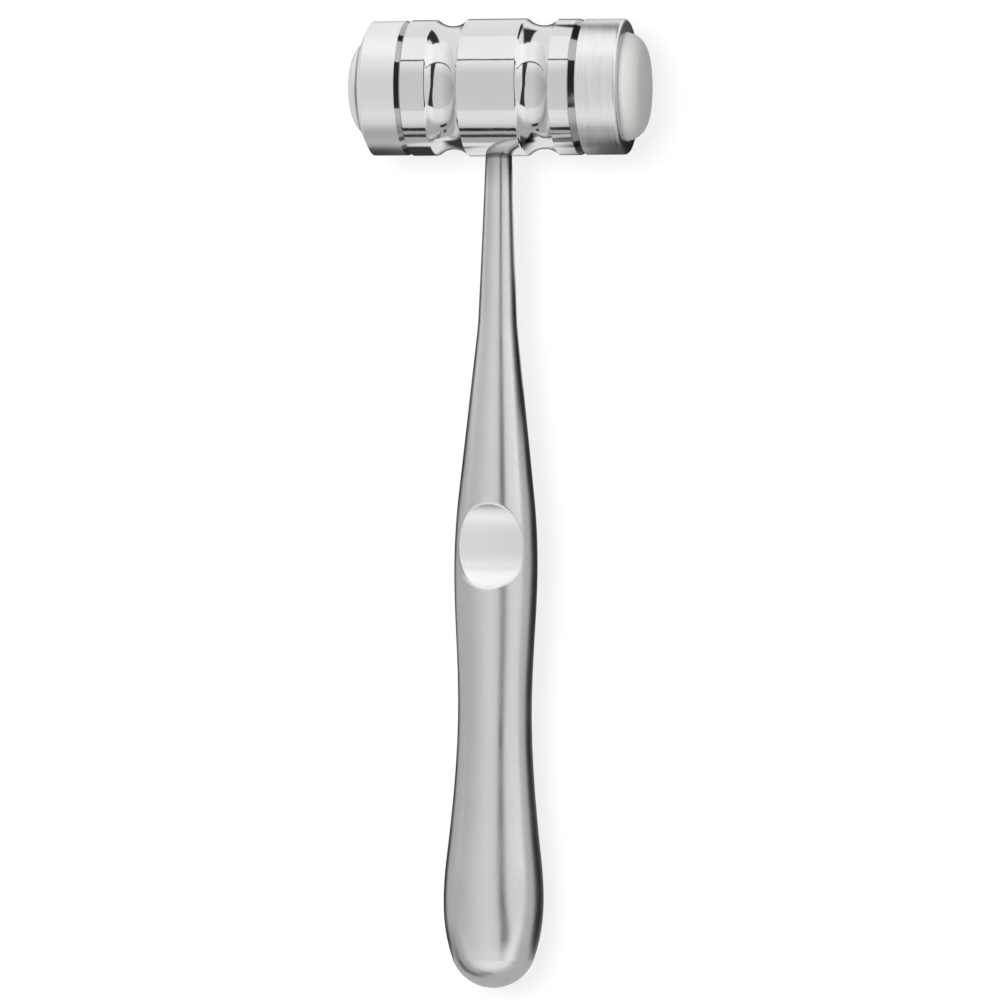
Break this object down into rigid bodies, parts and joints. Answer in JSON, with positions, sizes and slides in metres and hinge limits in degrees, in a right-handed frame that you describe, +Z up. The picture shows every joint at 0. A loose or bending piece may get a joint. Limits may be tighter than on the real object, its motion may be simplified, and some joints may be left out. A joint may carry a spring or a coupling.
{
  "type": "surgical mallet",
  "caption": "Small surgical mallet: turned steel head with a steel face and a screwed-on nylon face, solid handle with thumb dimples, lying on its side.",
  "frame": {"origin": "on the floor, under the middle of the mallet as it lies on its side", "axes": "+Z up, the head along X with the nylon face towards +X, the handle towards -Y"},
  "size_m": [0.0596, 0.1904, 0.027],
  "materials": {
    "polished_steel": "mirror polished",
    "satin_steel": "satin",
    "cap_steel": "fine satin",
    "ring_steel": "turned, brushed round its axis",
    "nylon": "smooth, faintly glossy"
  },
  "bodies": {
    "mallet": {"head_body": "polished_steel", "handle": "satin_steel", "steel_cap": "cap_steel"},
    "nylon_plug": {"nylon_face": "nylon"},
    "ring": {"clamp_ring": "ring_steel"}
  },
  "joints": [
    {"name": "nylon_slide", "type": "slide", "parent": "mallet", "child": "nylon_plug", "axis": [1, 0, 0], "range_m": [0, 0.004]},
    {"name": "ring_turn", "type": "hinge", "parent": "nylon_plug", "child": "ring", "pos_m": [-0.00013, 0.08173, 0.0135], "axis": [1, 0, 0], "range_deg": [0, 1440]}
  ],
  "couplings": [
    {"joint": "nylon_slide", "follows": "ring_turn", "m_per_rad": 0.00015915}
  ]
}
